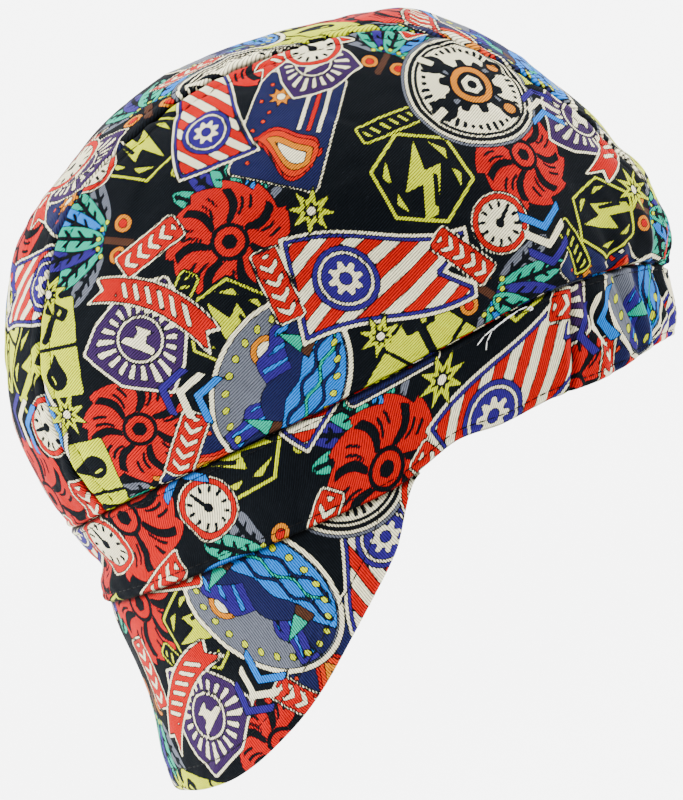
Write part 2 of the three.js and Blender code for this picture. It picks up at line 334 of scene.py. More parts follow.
def fromLine(points, line):  # how far each point lies from a line on the cloth, and how far along it
    steps = lengthAlong(line)
    even = np.linspace(0, steps[-1], int(steps[-1] / (0.25 * mm)))
    tree = KDTree(len(even))
    spots = np.stack([np.interp(even, steps, line[:, axis]) for axis in range(3)], -1)
    for place, spot in enumerate(spots):
        tree.insert(spot, place)
    tree.balance()
    found = np.array([tree.find(spot)[1:] for spot in points.reshape(-1, 3)])
    return found[:, 1].reshape(points.shape[:2]), even[found[:, 0].astype(int)].reshape(points.shape[:2])


# The cloth turns in at a seam, swells beside it, dips at its stitch row and ripples across it
def foldRelief(edge, along, row=cap["seamRow"]):
    swell = np.sin(np.pi * np.clip(edge / row, 0, 1))
    ripple = np.sin(along / (8.1 * mm) * 2 * math.pi + 1.9 * np.sin(along / (31 * mm)) + 0.4)
    return (-0.9 * mm * peak(edge, 0.8 * mm) + 0.36 * mm * swell - 0.2 * mm * peak(edge - row, 0.8 * mm)
            + 0.2 * mm * ripple * peak(edge - 0.8 * row, 6 * mm))


# Print: flat inks on a near-black ground. Shapes are in millimetres, negative inside.

inks = {  # linear colours
    "cream": (0.86, 0.80, 0.53), "red": (0.44, 0.002, 0.001), "yellow": (0.52, 0.58, 0.001),
    "royal": (0.022, 0.010, 0.155), "sky": (0.002, 0.155, 0.59), "teal": (0.001, 0.34, 0.21),
    "grey": (0.105, 0.115, 0.145), "purple": (0.030, 0.011, 0.062), "amber": (0.55, 0.17, 0.001),
    "navy": (0.008, 0.010, 0.052), "brown": (0.055, 0.020, 0.010), "orange": (0.55, 0.025, 0.001),
}
fabric = {"wide": 226.0, "high": 204.0}
inkReach = 3.0     # distances to an ink's edge are cut off here
motifReach = 36.0  # no motif reaches further from its middle


def disc(x, y, radius):
    return np.hypot(x, y) - radius


def oval(x, y, wide, high):
    size = np.hypot(x / wide, y / high)
    slope = np.hypot(x / wide ** 2, y / high ** 2) / np.maximum(size, 1e-6)
    return (size - 1) / np.maximum(slope, 1e-6)


def box(x, y, wide, high, corner=0.0):
    dx, dy = np.abs(x) - wide / 2 + corner, np.abs(y) - high / 2 + corner
    return np.hypot(np.maximum(dx, 0), np.maximum(dy, 0)) + np.minimum(np.maximum(dx, dy), 0) - corner


def line(x, y, start, end, width):
    ax, ay, bx, by = *start, *end
    length = (bx - ax) ** 2 + (by - ay) ** 2
    place = np.clip(((x - ax) * (bx - ax) + (y - ay) * (by - ay)) / length, 0, 1)
    return np.hypot(x - ax - place * (bx - ax), y - ay - place * (by - ay)) - width / 2


def shape(x, y, corners):
    nearest = np.full(x.shape, 1e6)
    inside = np.zeros(x.shape, bool)
    for (ax, ay), (bx, by) in zip(corners, corners[1:] + corners[:1]):
        nearest = np.minimum(nearest, line(x, y, (ax, ay), (bx, by), 0))
        crosses = (ay > y) != (by > y)
        inside ^= crosses & (x < (bx - ax) * (y - ay) / (by - ay if by != ay else 1e-9) + ax)
    return np.where(inside, -nearest, nearest)


def regular(count, radius, turn=0.0, inner=None):  # a polygon, or a star when it has an inner radius
    corners = []
    for step in range(count):
        angle = math.radians(turn) + 2 * math.pi * step / count
        corners.append((radius * math.cos(angle), radius * math.sin(angle)))
        if inner:
            angle += math.pi / count
            corners.append((inner * math.cos(angle), inner * math.sin(angle)))
    return corners


def band(distance, width):
    return np.abs(distance) - width / 2


def stripes(place, pitch, width, shift=0.0):
    return np.abs((place + shift + pitch / 2) % pitch - pitch / 2) - width / 2


# One of a count of spokes from the middle, whose phase runs from 0 to 1, with half its width in phase
def spokes(phase, far, half, least, count):
    return (np.abs(phase - 0.5) - half) * np.maximum(far, least) * 2 * math.pi / count


def discs(draw, x, y, *layers):
    for ink, radius in layers:
        draw(ink, disc(x, y, radius))


def spun(x, y, degrees, dx=0.0, dy=0.0):
    turn = math.radians(degrees)
    x, y = x - dx, y - dy
    return x * math.cos(turn) + y * math.sin(turn), -x * math.sin(turn) + y * math.cos(turn)


def gearPatch(x, y, draw):
    bearing, far = np.arctan2(y, x), np.hypot(x, y)
    discs(draw, x, y, ("grey", 25.4), ("cream", 24.2))
    draw(None, band(disc(x, y, 22.3), 1.2))
    draw(None, band(disc(x, y, 20.3), 0.8))
    notch = spokes((bearing * 40 / (2 * math.pi)) % 1, far, 0.20, 2, 40)
    draw(None, np.maximum(notch, np.abs(far - 17.4) - 1.1 - 0.5 * np.sin(bearing * 8)))
    for tilt in (38, -38):
        rx, ry = spun(x, y, tilt)
        draw(None, box(rx, ry, 5.6, 37, 2.4))
        draw("grey", box(rx, ry, 3.6, 35, 1.6))
        draw(None, disc(rx, ry - 15.5, 4.4))
        draw("cream", box(rx, ry - 18.4, 3.2, 6.4, 0.8))
        discs(draw, rx, ry + 15.5, (None, 4.0), ("amber", 2.4))
    draw(None, far - 10.4 - 1.5 * np.tanh(3.2 * np.sin(10 * bearing)))
    discs(draw, x, y, ("amber", 8.0), (None, 5.4))
    draw("cream", shape(x, y, regular(6, 4.3, 10)))
    draw(None, disc(x, y, 1.7))


def lakeOval(x, y, draw):
    draw("cream", oval(x, y, 27.5, 20.0))
    draw("grey", oval(x, y, 25.9, 18.4))
    discs(draw, x - 8, y - 7, ("amber", 5.2), ("cream", 3.4))
    inner = oval(x, y, 25.3, 17.8)
    hills = np.maximum(inner, y - 2 - 7 * np.abs(np.sin((x + 5) * 0.11)) - 1.4 * np.sin(x * 0.5))
    draw("royal", hills)
    draw("sky", np.maximum(hills + 1.6, np.abs((x * 0.8 + y) % 5.2 - 2.6) - 0.5 - 0.08 * y))
    draw("navy", np.maximum(inner, y + 1 - 5.5 * np.abs(np.sin((x - 6) * 0.16))))
    draw("sky", np.maximum(inner, y + 3.4 + 0.7 * np.sin(x * 0.45)))
    for ink, level, shift in (("navy", -6.3, 0), ("teal", -9.2, 4), ("navy", -12.2, 9)):
        wave = np.abs(y - level - 0.9 * np.sin((x + shift) * 0.55)) - 0.5
        draw(ink, np.maximum(inner + 1, wave))
    for side in (-1, 1):
        rx, ry = spun(x, y, 0, side * 14, -1.5)
        draw("brown", shape(rx, ry, [(-3.4, -3), (3.4, -3), (0, 7.5)]))
        draw("teal", shape(rx, ry, [(-2.6, 0), (2.6, 0), (0, 8.5)]))
    bearing = np.degrees(np.arctan2(y / 18.0, x / 25.0))
    dots = ((bearing + 180) % 15 - 7.5) * 0.36
    draw("yellow", np.hypot(dots, np.minimum(np.abs(oval(x, y, 22.6, 15.2)), 30)) - 1.15)


def sawSwirl(x, y, draw):
    turns, far = np.arctan2(y, x) / (2 * math.pi), np.hypot(x, y)
    draw("red", far - 18.5 - 2.6 * (((turns * 11 + far * 0.01) % 1) - 0.5))
    sweep = turns * 7 + far * 0.052 + 0.5 * np.sin(far * 0.2)
    cut = spokes(sweep % 1, far, 0.105 + 0.006 * (15 - far).clip(0), 3, 7)
    draw(None, np.maximum(cut, np.maximum(6.2 - far, far - 16.6)))
    cut = spokes((turns * 14 + far * 0.104 + np.sin(far * 0.2) + 0.5) % 1, far, 0.07, 3, 14)
    draw(None, np.maximum(cut, np.maximum(11.5 - far, far - 15.5)))
    draw(None, band(disc(x, y, 5.2), 1.1))
    draw("red", disc(x, y, 4.4))
    vein = spokes((sweep + 0.27) % 1, far, 0.035, 3, 7)
    draw(None, np.maximum(vein, np.maximum(8.4 - far, far - 14.4)))
    draw(None, shape(x, y, regular(6, 2.4, 0)))


def boltLines(x, y, draw):
    hexagon = shape(x, y, regular(6, 15.5, 30))
    draw(None, hexagon - 1.2)
    draw("yellow", band(hexagon, 1.3))
    draw("yellow", shape(x, y, [(1.5, 12.5), (-7.5, -1.2), (-1.6, -1.2), (-4, -12), (7.5, 2.6), (1.4, 2.6),
                                (6, 12.5)]))
    draw(None, line(x, y, (0.4, 9.5), (-3.6, 1.6), 1.2))
    for side in (-1, 1):
        draw("yellow", shape(x, y, [(side * 11.4, 4.5), (side * 8.6, 9), (side * 9.4, 1)]))
        draw("yellow", shape(x, y, [(side * 11.4, -4.5), (side * 7.2, -10), (side * 9.8, -1)]))
    tag = box(x, y + 19.5, 21, 6.4, 1.4)
    draw(None, tag - 0.6)
    draw("yellow", band(tag, 1.1))
    draw("yellow", np.maximum(tag + 1.5, stripes(x + 0.6 * y, 3.4, 1.5)))


def pennant(x, y, draw):
    bend = y + 2.6 * np.sin(x * 0.085)
    outline = np.maximum(np.abs(bend) - (15.5 - 0.10 * (x + 28)), np.abs(x) - 27.5)
    notch = shape(x, bend, [(30, 9), (30, -9), (17.5, 0)])
    outline = np.maximum(outline, -notch)
    draw("cream", outline - 1.5)
    draw("royal", outline - 0.2)
    draw("red", outline + 1.0)
    draw("cream", np.maximum(outline + 1.0, stripes(bend * 0.8 - x * 0.6, 7.4, 3.6, 1.6)))
    hub = x + 11.5
    draw("royal", np.maximum(outline + 1.0, disc(hub, bend, 10.2)))
    discs(draw, hub, bend, ("cream", 8.6), ("royal", 7.4))
    draw("cream", np.hypot(hub, bend) - 4.6 - 0.9 * np.tanh(3 * np.sin(8 * np.arctan2(bend, hub))))
    draw("royal", disc(hub, bend, 2.0))


def sunBadge(x, y, draw):
    badge = shape(x, y, [(-15.5, 5), (-15.5, 15), (0, 19), (15.5, 15), (15.5, 5), (11, -11), (0, -18.5),
                         (-11, -11)])
    draw("cream", badge - 1.2)
    draw("purple", badge)
    far = np.hypot(x, y - 3)
    ray = spokes((np.arctan2(x, y - 3) * 20 / (2 * math.pi)) % 1, far, 0.26, 2, 20)
    draw("cream", np.maximum(np.maximum(badge + 2.2, ray), 6.6 - far))
    draw("purple", disc(x, y - 3, 8.6))
    draw("cream", band(disc(x, y - 3, 7.4), 1.1))
    anvil = shape(x, y - 3, [(-5.8, 3.4), (-5.8, 1.2), (-2.2, 0.4), (-1.6, -1.8), (-3.4, -3.8), (3.4, -3.8),
                             (1.6, -1.8), (2.2, 0.4), (4.4, 0.8), (6.2, 3.4)])
    draw("cream", anvil)
    bend = y + 11.5 - 0.012 * x ** 2
    ribbon = shape(x, bend, [(-22, -4.2), (-18.5, 0), (-22, 4.2), (22, 4.2), (18.5, 0), (22, -4.2)])
    draw("cream", ribbon - 1.1)
    draw("red", ribbon)
    draw("cream", np.maximum(np.maximum(ribbon + 1.5, np.abs(x) - 14), stripes(x + 0.7 * y, 4.6, 2.0)))


def toolChart(x, y, draw):
    card = box(x, y, 42, 36, 1.2)
    draw("yellow", card)
    draw(None, np.maximum(card, np.minimum(band(x, 1.1), band(y, 1.1))))
    rx, ry = spun(x, y, 45, -10.5, 9)
    draw(None, box(rx, ry, 3.4, 13, 0.6))
    draw(None, disc(rx, ry - 6.6, 3.5))
    draw(None, disc(rx, ry + 6.6, 3.0))
    draw("yellow", box(rx, ry - 8.6, 2.3, 5.0))
    draw("yellow", disc(rx, ry + 6.6, 1.4))
    draw("yellow", box(rx, ry, 1.2, 8.4, 0.4))
    rx, ry = spun(x, y, -30, 10.5, 9)
    draw(None, np.minimum(box(rx, ry + 1.5, 2.6, 12, 0.6), box(rx, ry - 5.2, 10.5, 4.6, 1.0)))
    draw("yellow", box(rx - 1.8, ry - 5.2, 2.0, 2.4, 0.3))
    rx, ry = spun(x, y, 12, -10.5, -9)
    draw(None, shape(rx, ry, regular(6, 6.6)))
    discs(draw, rx, ry, ("yellow", 4.2), (None, 3.0), ("yellow", 1.5))
    rx, ry = spun(x, y, 0, 10.5, -9.5)
    drop = np.minimum(disc(rx, ry + 1.4, 4.4), shape(rx, ry, [(-3.9, 0.6), (0, 7.4), (3.9, 0.6)]))
    draw(None, drop)
    draw("yellow", line(rx, ry, (-2.2, -0.6), (-1.4, -3.4), 1.2))


def flameCard(x, y, draw):
    card = box(x, y, 44, 29, 2.0)
    draw("cream", card - 0.9)
    draw("navy", card)
    for level in (-10.2, -6.9, -3.6):
        stripe = np.maximum(np.maximum(card + 1.8, np.abs(y - level) - 0.8), -x - 2)
        draw("red" if level == -6.9 else "cream", stripe)
    sway = 2.4 * np.sin(y * 0.28)
    high = np.clip((y + 12) / 21, 0, 1)
    flame = np.abs(x + 9.5 - sway) - 8.6 * np.sqrt(high) * (1 - high) * 2.1
    flame = np.maximum(flame * 0.8, np.maximum(-(y + 12), y - 11))
    for spark in range(9):  # embers over the flame
        draw("orange", disc(x + 17 - 4.1 * spark, y - 9.5 - 2.6 * math.sin(2.4 * spark), 0.85))
    for ink, inset in (("red", -1.2), ("orange", 0), ("amber", 1.8), ("cream", 3.6)):
        draw(ink, flame + inset)
    draw("amber", shape(x - 11, y - 6, regular(8, 5.0, 0, 2.6)))
    draw("cream", disc(x - 11, y - 6, 1.6))


def leafFan(x, y, draw):
    draw("brown", line(x, y, (-1, -17), (0, -4), 2.6))
    for place in (0, 6, 1, 5, 2, 4, 3):
        rx, ry = spun(x, y + 9, 22 * place - 66)
        wide = 4.3 - 0.3 * abs(place - 3)
        leaf = oval(rx, ry - 14.5, wide, 12.5 - 0.25 * abs(place - 3) ** 2)
        draw(("grey", "teal", "sky", "teal", "royal", "teal", "grey")[place], leaf)
        draw(None, np.maximum(leaf + 0.8, np.abs(rx) - 0.55))
        draw(None, np.maximum(leaf + 1.4, stripes(ry - np.abs(rx) * 0.9, 4.6, 1.1)))
    for dot in range(5):
        turn = 0.5 + 0.53 * dot
        draw("yellow", disc(x - 6.5 * math.cos(turn), y + 9 - 4 * math.sin(turn), 0.9))
    for side in (-1, 1):
        discs(draw, x - side * 5.2, y + 13, ("amber", 3.0), ("red", 1.5))


def dialPatch(x, y, draw):
    discs(draw, x, y, ("cream", 12.6), ("red", 11.6), ("cream", 9.4))
    bearing, far = np.degrees(np.arctan2(y, x)), np.hypot(x, y)
    tick = (np.abs((bearing + 360) % 30 - 15) * math.pi / 180 * far) - 0.5
    draw(None, np.maximum(tick, np.maximum(6.2 - far, far - 8.6)))
    draw(None, line(x, y, (0, 0), (4.2, 4.2), 1.4))
    draw(None, disc(x, y, 1.8))


def chevronTag(x, y, draw):
    tag = box(x, y, 27, 11, 2.2)
    draw("cream", tag)
    draw("red", tag + 1.0)
    draw("cream", np.maximum(tag + 2.3, stripes(x - np.abs(y) * 0.9, 5.2, 2.2)))


def weldSpark(x, y, draw):
    draw("yellow", shape(x, y, regular(8, 9.4, 8, 3.9)))
    draw(None, shape(x, y, regular(8, 4.4, 8, 1.5)))
    draw("cream", disc(x, y, 1.7))


def blueChevrons(x, y, draw):
    for place in range(3):
        chevron = np.abs(y - np.abs(x) * 0.7 - 5 + 6.4 * place) - 1.7
        draw(("sky", "cream", "royal")[place], np.maximum(chevron, np.abs(x) - 9))


# Where each motif lies on the repeat, in millimetres, with its turn and size. Later ones lie on top.
layout = {
    leafFan: [(131, 60, 200, 1.1), (52, 178, 40, 1.05), (178, 150, -70, 1.0), (6, 96, 120, 0.95),
        (96, 150, -20, 1.0), (200, 34, -140, 0.95)],
    sawSwirl: [(64, 24, 20, 1.1), (212, 14, 75, 0.95), (84, 140, -40, 1.05), (170, 90, 130, 0.95),
        (22, 120, 10, 0.95), (142, 192, 50, 1.0), (34, 54, 80, 0.8)],
    toolChart: [(96, 64, 14, 1.0), (12, 164, -35, 0.9), (214, 118, 62, 0.9), (116, 4, 40, 0.85)],
    flameCard: [(30, 86, -78, 0.95), (126, 154, 28, 1.0), (190, 196, -12, 0.9), (166, 40, 100, 0.85)],
    boltLines: [(20, 32, -20, 1.0), (140, 110, 160, 1.05), (88, 190, 30, 1.0), (178, 54, -100, 0.9),
        (66, 122, 200, 0.9), (214, 176, 45, 0.9)],
    sunBadge: [(104, 30, -14, 0.95), (206, 78, 24, 1.0), (46, 140, 112, 0.95), (152, 168, 160, 0.85)],
    lakeOval: [(62, 98, 22, 1.05), (168, 12, -160, 0.95), (216, 150, 70, 0.9)],
    pennant: [(108, 98, -34, 1.0), (44, 62, 150, 0.9), (112, 182, 64, 0.85)],
    gearPatch: [(20, 198, -60, 0.95), (180, 118, 48, 0.98), (78, 52, -25, 0.9)],
    chevronTag: [(84, 120, 66, 0.9), (144, 36, 12, 1.0), (44, 10, -40, 0.95), (66, 158, -8, 0.9),
        (194, 146, -30, 0.85), (2, 70, 80, 0.85), (130, 84, 100, 0.85), (28, 106, 25, 0.85)],
    dialPatch: [(52, 36, 0, 0.85), (158, 172, 40, 0.9), (0, 12, 20, 0.75), (146, 82, -30, 0.8),
        (70, 198, 10, 0.8)],
    weldSpark: [(132, 18, 0, 1.0), (196, 50, 15, 1.0), (108, 128, 30, 0.9), (30, 174, 10, 0.9),
        (94, 86, 25, 0.85), (220, 98, 5, 0.8), (8, 140, 20, 0.9), (166, 202, 0, 0.85)],
    blueChevrons: [(154, 66, -30, 0.9), (8, 52, 60, 0.85), (84, 6, 120, 0.9), (128, 200, 10, 0.85),
        (40, 118, 210, 0.85), (196, 96, 140, 0.8)],
}


# How far inside each ink every point lies, in millimetres, from its cloth coordinates in metres
def printAt(uv, shift):
    u, v = uv[..., 0].ravel() / mm + shift[0], uv[..., 1].ravel() / mm + shift[1]
    cover = {ink: np.full(len(u), -inkReach) for ink in inks}
    placed = [(motif, spot) for motif, spots in layout.items() for spot in spots]
    for motif, (mu, mv, angle, size) in placed:
        x = (u - mu + fabric["wide"] / 2) % fabric["wide"] - fabric["wide"] / 2
        y = (v - mv + fabric["high"] / 2) % fabric["high"] - fabric["high"] / 2
        near = np.nonzero(x ** 2 + y ** 2 < (motifReach * size) ** 2)[0]
        if not len(near):
            continue
        lx, ly = spun(x[near], y[near], angle)
        part = {ink: values[near] for ink, values in cover.items()}

        def draw(ink, distance):
            distance = distance * size
            for name in part:
                if name == ink:
                    part[name] = np.maximum(part[name], -distance)
                else:
                    part[name] = np.minimum(part[name], distance)

        motif(lx / size, ly / size, draw)
        for ink in cover:
            cover[ink][near] = part[ink]
    return {ink: np.clip(values, -inkReach, inkReach).reshape(uv.shape[:-1])
            for ink, values in cover.items()}


def makePiece(name, bm):
    mesh = bpy.data.meshes.new(name)
    bm.to_mesh(mesh)
    bm.free()
    mesh.polygons.foreach_set("use_smooth", np.ones(len(mesh.polygons), bool))
    piece = bpy.data.objects.new(name, mesh)
    bpy.context.collection.objects.link(piece)
    return piece


# A closed wall of cloth: the outer sheet, an inner one with every coarse-th point, and the edge between
def clothPiece(name, points, normal, wall, coarse, uv, printShift, seamShadeDistance):
    rows, columns = points.shape[0] - 1, points.shape[1] - 1
    bm = bmesh.new()
    bmesh.ops.create_grid(bm, x_segments=columns, y_segments=rows, size=1)
    inner = bmesh.ops.create_grid(bm, x_segments=columns // coarse, y_segments=rows // coarse,
                                  size=1)["verts"]
    bmesh.ops.translate(bm, vec=(0, 0, -0.05), verts=inner)  # told from the outer sheet by its depth
    rim = [edge for edge in bm.edges if edge.is_boundary]
    bmesh.ops.bridge_loops(bm, edges=rim)
    bmesh.ops.recalc_face_normals(bm, faces=bm.faces)
    piece = makePiece(name, bm)
    mesh = piece.data

    spots = np.empty(len(mesh.vertices) * 3)
    mesh.vertices.foreach_get("co", spots)
    spots = spots.reshape(-1, 3)
    column = np.rint((spots[:, 0] + 1) / 2 * columns).astype(int)
    row = np.rint((spots[:, 1] + 1) / 2 * rows).astype(int)
    isInner = spots[:, 2] < -0.02
    placed = points[row, column] - normal[row, column] * (wall * isInner)[:, None]
    mesh.vertices.foreach_set("co", placed.ravel())

    if np.sum(np.cross(points[0, 1] - points[0, 0], points[1, 0] - points[0, 0]) * normal[0, 0]) < 0:
        mesh.flip_normals()
    loops = np.empty(len(mesh.loops), int)
    mesh.loops.foreach_get("vertex_index", loops)
    layer = mesh.uv_layers.new(name="cloth")
    layer.uv.foreach_set("vector", (uv[row, column] / mm)[loops].ravel())

    starts = np.empty(len(mesh.polygons), int)
    mesh.polygons.foreach_get("loop_start", starts)
    isInside = np.logical_and.reduceat(isInner[loops], starts)
    mesh.polygons.foreach_set("material_index", isInside.astype(int))
    deep = isInner & (row > 0) & (row < rows) & (column > 0) & (column < columns)
    # The inner ply has the print of the piece's mirrored column, except along its edge
    for ink, cover in printAt(uv, printShift).items():
        values = np.where(deep, cover[row, columns - column], cover[row, column])
        mesh.attributes.new(ink, "FLOAT", "POINT").data.foreach_set("value", values.astype(np.float32))
    # Distance from the nearest seam, which sets how far the painted seam shadow reaches
    fromSeam = (seamShadeDistance[row, column] / mm).astype(np.float32)
    mesh.attributes.new("fromSeam", "FLOAT", "POINT").data.foreach_set("value", fromSeam)
    mesh.update()
    return piece


print("form ready")


# Topstitching: every row of thread is one run of short stitches that sink into the cloth

thread = {"pitch": 3.0 * mm, "length": 2.5 * mm, "wide": 0.46 * mm, "sunk": 0.04 * mm,
          "search": 1.2 * mm,  # how far from the row cloth points still place a stitch
          "lost": 0.9 * mm}    # no stitch where the nearest point is further off
stitchMeshes = {"crown": bmesh.new(), "bands": bmesh.new(), "bill": bmesh.new()}
threadEnds = bmesh.new()


def layThread(bm, start, end, normal, wide):
    way = end - start
    length = way.length
    way.normalize()
    side = way.cross(normal).normalized()
    frameOfStitch = Matrix((side, way, side.cross(way))).transposed().to_4x4()
    size = Matrix.Diagonal((wide / 2, length / 2 + wide / 3, wide / 2, 1))
    bmesh.ops.create_uvsphere(bm, u_segments=6, v_segments=4, radius=1,
                              matrix=Matrix.Translation((start + end) / 2) @ frameOfStitch @ size
                              @ Matrix.Rotation(math.radians(90), 4, "X"))


def sew(rowName, points, normal, far, along, offset):
    near = np.nonzero(np.abs(far - offset).ravel() < thread["search"])[0]
    spots, normals = points.reshape(-1, 3)[near], normal.reshape(-1, 3)[near]
    flat = np.stack([far.ravel()[near], along.ravel()[near]], -1)
    tree = KDTree(len(near))
    for place, (u, v) in enumerate(flat):
        tree.insert((u, v, 0), place)
    tree.balance()

    def onRow(length):
        found = tree.find_n((offset, length, 0), 4)
        if found[0][2] > thread["lost"]:
            return None
        share = np.array([1 / (away + 0.05 * mm) for _, _, away in found])
        share /= share.sum()
        places = [place for _, place, _ in found]
        return Vector(share @ spots[places]), Vector(share @ normals[places]).normalized()

    for length in np.arange(thread["pitch"] / 2, along.max() - thread["length"], thread["pitch"]):
        start, end = onRow(length), onRow(length + thread["length"])
        if start and end:
            lift = start[1] * -thread["sunk"]
            layThread(stitchMeshes[rowName], start[0] + lift, end[0] + lift, start[1], thread["wide"])


# Crown side panels

# The corners are where the lattice's sides meet its top, as shares of the seam's length
sideCut = {"columns": 360, "rows": 208, "coarse": 8, "footPoints": 600,
           "cornerLow": 0.28, "cornerHigh": 0.72,
           "hub": (0.006, 0, 0.050), "radius": 0.090,  # the sphere behind the cloth coordinates
           "left": dict(sign=1, seed=11, turn=22, print=(98, 92)),
           "right": dict(sign=-1, seed=23, turn=158, print=(30, 160))}


def sidePanel():  # the left panel: angles and shares over a lattice that fits between the seam and the band
    across, up = lattice(sideCut["columns"], sideCut["rows"])
    traceAngle, traceShare = seamTrace(trace["points"])
    traced = np.linspace(0, 1, trace["points"])
    low, high = sideCut["cornerLow"], sideCut["cornerHigh"]

    footAngle = np.linspace(traceAngle[0], traceAngle[-1], sideCut["footPoints"])
    along = lengthAlong(crownPoint(footAngle, np.zeros(sideCut["footPoints"])))

    def onSeam(place):
        return np.stack([np.interp(place, traced, traceAngle), np.interp(place, traced, traceShare)], -1)

    u, v = across[..., None], up[..., None]
    bottom = np.stack([np.interp(across * along[-1], along, footAngle), np.zeros_like(across)], -1)
    top = onSeam(low + (high - low) * across)
    left = onSeam(low * up)
    right = onSeam(1 - (1 - high) * up)
    corners = ((1 - u) * (1 - v) * onSeam(0 * across) + u * (1 - v) * onSeam(0 * across + 1)
               + (1 - u) * v * onSeam(0 * across + low) + u * v * onSeam(0 * across + high))
    spot = (1 - v) * bottom + v * top + (1 - u) * left + u * right - corners
    return spot[..., 0], spot[..., 1]


def sideCloth(points, side):  # flat cloth coordinates about the panel's middle, metres
    away = points - np.array(sideCut["hub"])
    away /= np.linalg.norm(away, axis=2)[..., None]
    fromPole = np.arccos(np.clip(-side * away[..., 1], -1, 1))
    bearing = np.arctan2(away[..., 2], away[..., 0])
    return fromPole[..., None] * sideCut["radius"] * np.stack([np.cos(bearing), np.sin(bearing)], -1)


def turned(uv, degrees):
    return np.stack(spun(uv[..., 0], uv[..., 1], degrees), -1)


def finishCrown(points, seamEdges, footEdge, seed):
    normal = outward(points)
    relief = foldRelief(footEdge, measure(points)[0], row=3 * mm)
    for edge, along in seamEdges:
        relief = relief + foldRelief(edge, along)
    soft = softDents(points, seed, (0.55 * mm, 0.046), (0.16 * mm, 0.017))
    return points + normal * (relief + soft)[..., None], normal


def makeSide(name, cut):
    angle, share = sidePanel()
    points = crownPoint(cut["sign"] * angle, share)
    seam = fromLine(points, np.concatenate([points[:, 0], points[-1, 1:], points[-2::-1, -1]]))
    foot = measure(points)[1]
    # Distances to the seams and the foot, for the painted shade along them
    seamShadeDistance = np.minimum(seam[0], foot)
    points, normal = finishCrown(points, [seam], foot, cut["seed"])
    sew("crown", points, outward(points), *seam, cap["seamRow"])
    uv = turned(sideCloth(points, cut["sign"]), cut["turn"])
    return clothPiece(name, points, normal, cap["clothWall"], sideCut["coarse"], uv, cut["print"], seamShadeDistance)


crownLeft = makeSide("crownSideLeft", sideCut["left"])
crownRight = makeSide("crownSideRight", sideCut["right"])
print("crown sides", len(crownLeft.data.vertices))


# Crown centre strip

# The strip's points are found along rays from a hub inside the crown
stripCut = {"columns": 528, "rows": 112, "coarse": 8, "hubX": 3 * mm, "hubZ": 20 * mm,
            "nearest": 0.03, "furthest": 0.16, "rounds": 5, "print": (60, 40)}


def centreStrip():
    across, up = lattice(stripCut["columns"], stripCut["rows"])
    place = 2 * up - 1
    riseShares = np.linspace(0, 1, 4000)
    rises = columnAt(crownRows, "rise", riseShares)

    def planAngle(x, y, share):  # the angle, and how far out on the crown's section: 1 is on it
        front, back, side, middle = crownSection(share)
        ahead = middle - x
        reach = np.where(ahead > 0, front + middle, back - middle)
        forward, sideways = ahead / np.maximum(np.abs(reach), 1e-6), y / np.maximum(side, 1e-6)
        return np.arctan2(-sideways, forward), forward ** 2 + sideways ** 2

    def solve(x, y, z):  # the crown's angle, share and whether the point is inside
        angle, size = planAngle(x, y, np.full_like(x, 0.2))
        for turn in range(2):
            foot = crownFoot(angle)
            share = np.interp((z - foot) / (cap["crownTop"] - foot), rises, riseShares)
            angle, size = planAngle(x, y, share)
        return angle, share, (size < 1) & (z < cap["crownTop"])

    def footRay(y, back):
        front, rear, side, middle = crownSection(np.zeros_like(y))
        lean = np.arcsin(np.clip(-y / side, -1, 1))
        angle = np.pi - lean if back else lean
        x, _ = sectionPoint(angle, front, rear, side, middle)
        return angle, np.arctan2(crownFoot(angle) - stripCut["hubZ"], -(x - stripCut["hubX"]))

    half = np.full_like(place, cap["stripWidth"] / 2)
    weight = across
    for turn in range(stripCut["rounds"]):
        y = place * half
        frontRay, backRay = footRay(y, False)[1], footRay(y, True)[1]
        ray = frontRay + (np.where(backRay < 0, backRay + 2 * np.pi, backRay) - frontRay) * weight
        nearest, furthest = np.full_like(y, stripCut["nearest"]), np.full_like(y, stripCut["furthest"])
        distance = bisect(nearest, furthest, lambda reach: solve(
            stripCut["hubX"] - reach * np.cos(ray), y, stripCut["hubZ"] + reach * np.sin(ray))[2])
        x = stripCut["hubX"] - distance * np.cos(ray)
        z = stripCut["hubZ"] + distance * np.sin(ray)
        if turn == 0:  # even steps along the middle line
            middleRow = across.shape[0] // 2
            along = lengthAlong(np.stack([x[middleRow], z[middleRow]], -1))
            weight = np.interp(across, along / along[-1], across[middleRow])
        half = stripHalf(x, z)
    angle, share, _ = solve(x, y, z)
    share[:, [0, -1]] = 0
    angle[:, 0] = footRay(y, False)[0][:, 0]
    angle[:, -1] = footRay(y, True)[0][:, -1]
    return angle, share


def makeStrip():
    angle, share = centreStrip()
    points = crownPoint(angle, share)
    across, up = measure(points)
    seams = [fromLine(points, points[0]), fromLine(points, points[-1])]
    foot = np.minimum(across, across[:, -1:] - across)
    # Distances to the seams and the ends, for the painted shade along them
    seamShadeDistance = np.minimum(foot, np.minimum(seams[0][0], seams[1][0]))
    points, normal = finishCrown(points, seams, foot, 37)
    for seam in seams:
        sew("crown", points, outward(points), *seam, cap["seamRow"])
    uv = turned(np.stack([across, up - up[-1:] / 2], -1), 30)
    return clothPiece("crownCentreStrip", points, normal, cap["clothWall"], stripCut["coarse"], uv,
                      stripCut["print"], seamShadeDistance)


crownStrip = makeStrip()
print("crown strip", len(crownStrip.data.vertices))


# Headband and elastic band

# The joins lean this many degrees backwards from rim to seam, about a point at this share of the height
bandCut = {"rows": 48, "coarse": 2, "lowRow": 2.9 * mm, "highRow": 1.8 * mm, "lean": 8, "uprightAt": 0.25,
           "plain": dict(columns=620, seed=41, print=(170, 30), grows=1,
                         sink=0.5 * mm, sinkReach=0.7 * mm, swell=0.8 * mm),
           "elastic": dict(columns=300, seed=43, print=(20, 120), grows=-1,
                           sink=1.9 * mm, sinkReach=2.0 * mm, swell=0.4 * mm)}


